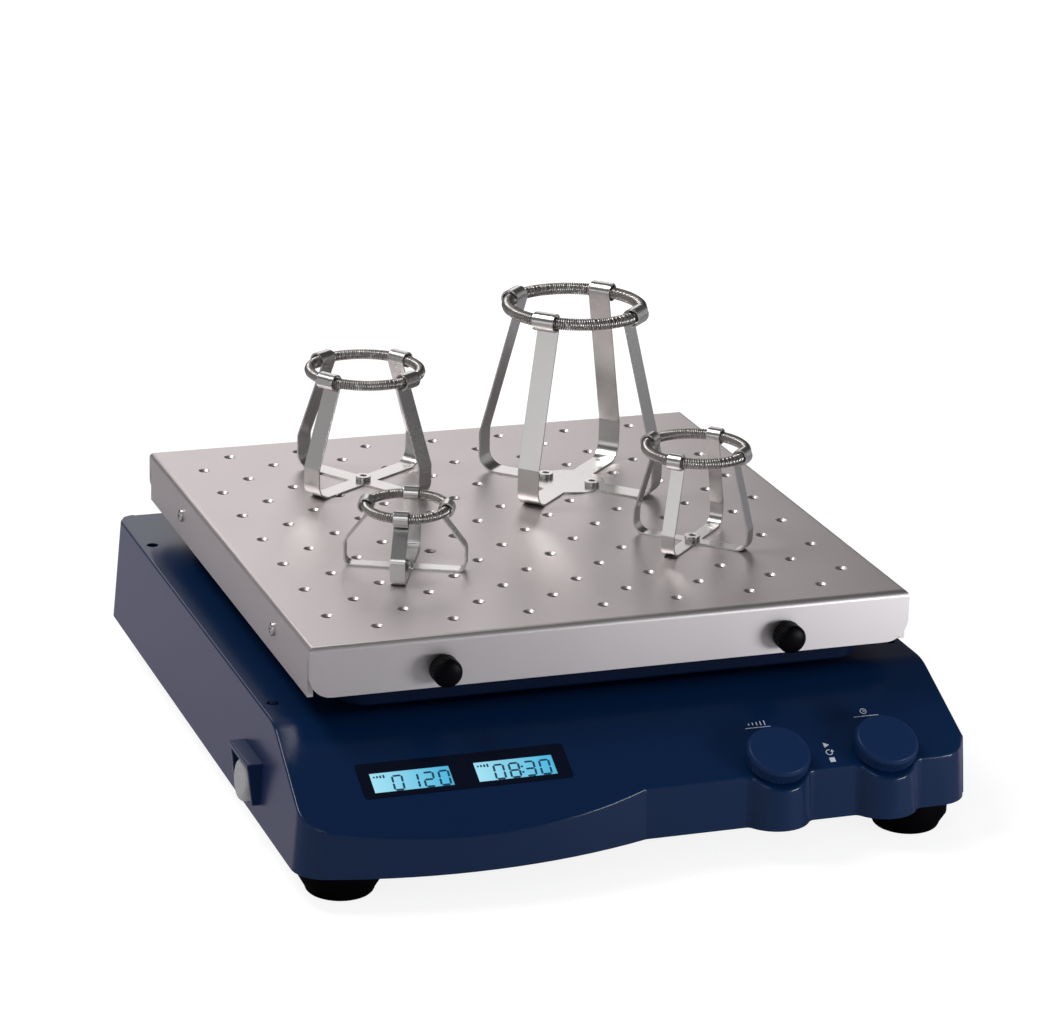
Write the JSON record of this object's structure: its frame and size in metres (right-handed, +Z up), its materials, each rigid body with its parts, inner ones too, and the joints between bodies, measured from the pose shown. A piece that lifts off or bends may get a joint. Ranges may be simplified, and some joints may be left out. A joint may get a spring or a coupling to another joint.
{
  "type": "orbital shaker",
  "caption": "Bench orbital shaker: a drilled platform with sprung vessel clamps circles on an eccentric drive above a low housing with a display, push-turn knobs and a rocker switch",
  "frame": {"origin": "On the bench, midway between the feet and under the housing's centre line", "axes": "+X to the operator's right, +Y to the back, +Z up"},
  "size_m": [0.3758, 0.4183, 0.2293],
  "materials": {
    "navy_shell": "semi-gloss navy paint with a fine orange-peel texture",
    "navy_knob": "moulded navy plastic, satin, with a finely ribbed skirt",
    "platform_aluminium": "anodised sheet, matt and faintly warm",
    "cast_alloy": "cast and machined alloy",
    "base_steel": "grey powder coat on steel sheet",
    "ground_steel": "ground bearing steel",
    "clamp_steel": "bright rolled stainless band",
    "spring_steel": "close-wound bright spring wire",
    "screw_steel": "bright plated",
    "black_screw": "black oxide",
    "foot_rubber": "matt black rubber",
    "black_plastic": "moulded black plastic",
    "board_green": "solder-masked circuit board",
    "window_dark": "dark polished window",
    "display_blue": "pale blue backlit figure display",
    "boot_clear": "hazy grey moulded boot"
  },
  "bodies": {
    "root": {"housing": "navy_shell", "base_plate": "base_steel", "rubber_feet": "foot_rubber", "foot_screws": "screw_steel", "deck_screws": "black_screw", "base_screws": "screw_steel", "deck_frame": "base_steel", "hub_housing": "cast_alloy", "hub_screws": "screw_steel", "hub_bearings": "ground_steel", "support_posts": "cast_alloy", "post_bearings": "ground_steel", "motor_mount": "base_steel", "motor": "black_plastic", "motor_screws": "screw_steel", "drive_belt": "foot_rubber", "control_board": "board_green", "power_supply": "base_steel", "mains_inlet": "black_plastic", "display_window": "window_dark", "display_module": "display_blue", "encoder_bodies": "ground_steel", "switch_body": "black_plastic", "switch_boot": "boot_clear"},
    "drive": {"drive_shaft": "ground_steel", "shaft_collar": "black_screw", "drive_pulley": "cast_alloy", "counterweight": "ground_steel"},
    "motor_rotor": {"motor_shaft": "ground_steel", "motor_pulley": "cast_alloy"},
    "crank_front_left": {"crank_front_left": "ground_steel"},
    "crank_rear_left": {"crank_rear_left": "ground_steel"},
    "crank_front_right": {"crank_front_right": "ground_steel"},
    "crank_rear_right": {"crank_rear_right": "ground_steel"},
    "carriage": {"carrier": "navy_shell", "carrier_bearing": "ground_steel", "crank_pin_bearings": "ground_steel", "platform": "platform_aluminium", "platform_screws": "screw_steel", "clamp_large": "clamp_steel", "clamp_large_ring": "spring_steel", "clamp_medium": "clamp_steel", "clamp_medium_ring": "spring_steel", "clamp_small": "clamp_steel", "clamp_small_ring": "spring_steel", "clamp_mini": "clamp_steel", "clamp_mini_ring": "spring_steel", "clamp_screws": "screw_steel"},
    "thumb_left": {"thumb_screw_left": "black_plastic"},
    "thumb_right": {"thumb_screw_right": "black_plastic"},
    "push_left": {"encoder_plunger_left": "ground_steel"},
    "turn_left": {"encoder_shaft_left": "ground_steel", "knob_left": "navy_knob"},
    "push_right": {"encoder_plunger_right": "ground_steel"},
    "turn_right": {"encoder_shaft_right": "ground_steel", "knob_right": "navy_knob"},
    "rocker": {"switch_rocker": "black_plastic"}
  },
  "joints": [
    {"name": "drive_spin", "type": "hinge", "parent": "root", "child": "drive", "pos_m": [0, 0.028, 0.05], "axis": [0, 0, 1], "continuous": true},
    {"name": "motor_spin", "type": "hinge", "parent": "root", "child": "motor_rotor", "pos_m": [0, 0.125, 0.05], "axis": [0, 0, 1], "continuous": true},
    {"name": "crank_front_left_spin", "type": "hinge", "parent": "root", "child": "crank_front_left", "pos_m": [-0.105, -0.072, 0.07], "axis": [0, 0, 1], "continuous": true},
    {"name": "crank_rear_left_spin", "type": "hinge", "parent": "root", "child": "crank_rear_left", "pos_m": [-0.105, 0.128, 0.07], "axis": [0, 0, 1], "continuous": true},
    {"name": "crank_front_right_spin", "type": "hinge", "parent": "root", "child": "crank_front_right", "pos_m": [0.105, -0.072, 0.07], "axis": [0, 0, 1], "continuous": true},
    {"name": "crank_rear_right_spin", "type": "hinge", "parent": "root", "child": "crank_rear_right", "pos_m": [0.105, 0.128, 0.07], "axis": [0, 0, 1], "continuous": true},
    {"name": "carriage_orbit", "type": "hinge", "parent": "drive", "child": "carriage", "pos_m": [0, 0.023, 0.1], "axis": [0, 0, 1], "continuous": true},
    {"name": "thumb_left_turn", "type": "hinge", "parent": "carriage", "child": "thumb_left", "pos_m": [-0.0945, -0.142, 0.1025], "axis": [0, -1, 0], "continuous": true},
    {"name": "thumb_right_turn", "type": "hinge", "parent": "carriage", "child": "thumb_right", "pos_m": [0.0945, -0.142, 0.1025], "axis": [0, -1, 0], "continuous": true},
    {"name": "knob_left_push", "type": "slide", "parent": "root", "child": "push_left", "axis": [0, 0.454, -0.891], "range_m": [0, 0.0008], "stiffness_N_per_m": 600, "springref_m": -0.004},
    {"name": "knob_left_turn", "type": "hinge", "parent": "push_left", "child": "turn_left", "pos_m": [0.074, -0.18396, 0.04926], "axis": [0, -0.454, 0.891], "continuous": true},
    {"name": "knob_right_push", "type": "slide", "parent": "root", "child": "push_right", "axis": [0, 0.454, -0.891], "range_m": [0, 0.0008], "stiffness_N_per_m": 600, "springref_m": -0.004},
    {"name": "knob_right_turn", "type": "hinge", "parent": "push_right", "child": "turn_right", "pos_m": [0.135, -0.18396, 0.04926], "axis": [0, -0.454, 0.891], "continuous": true},
    {"name": "power_rocker", "type": "hinge", "parent": "root", "child": "rocker", "pos_m": [-0.1837, -0.101, 0.0345], "axis": [0, 1, 0], "range_deg": [0, 16]}
  ],
  "couplings": [
    {"joint": "motor_spin", "follows": "drive_spin", "ratio": 5},
    {"joint": "carriage_orbit", "follows": "drive_spin", "ratio": -1},
    {"joint": "crank_front_left_spin", "follows": "drive_spin", "ratio": 1},
    {"joint": "crank_rear_left_spin", "follows": "drive_spin", "ratio": 1},
    {"joint": "crank_front_right_spin", "follows": "drive_spin", "ratio": 1},
    {"joint": "crank_rear_right_spin", "follows": "drive_spin", "ratio": 1}
  ]
}
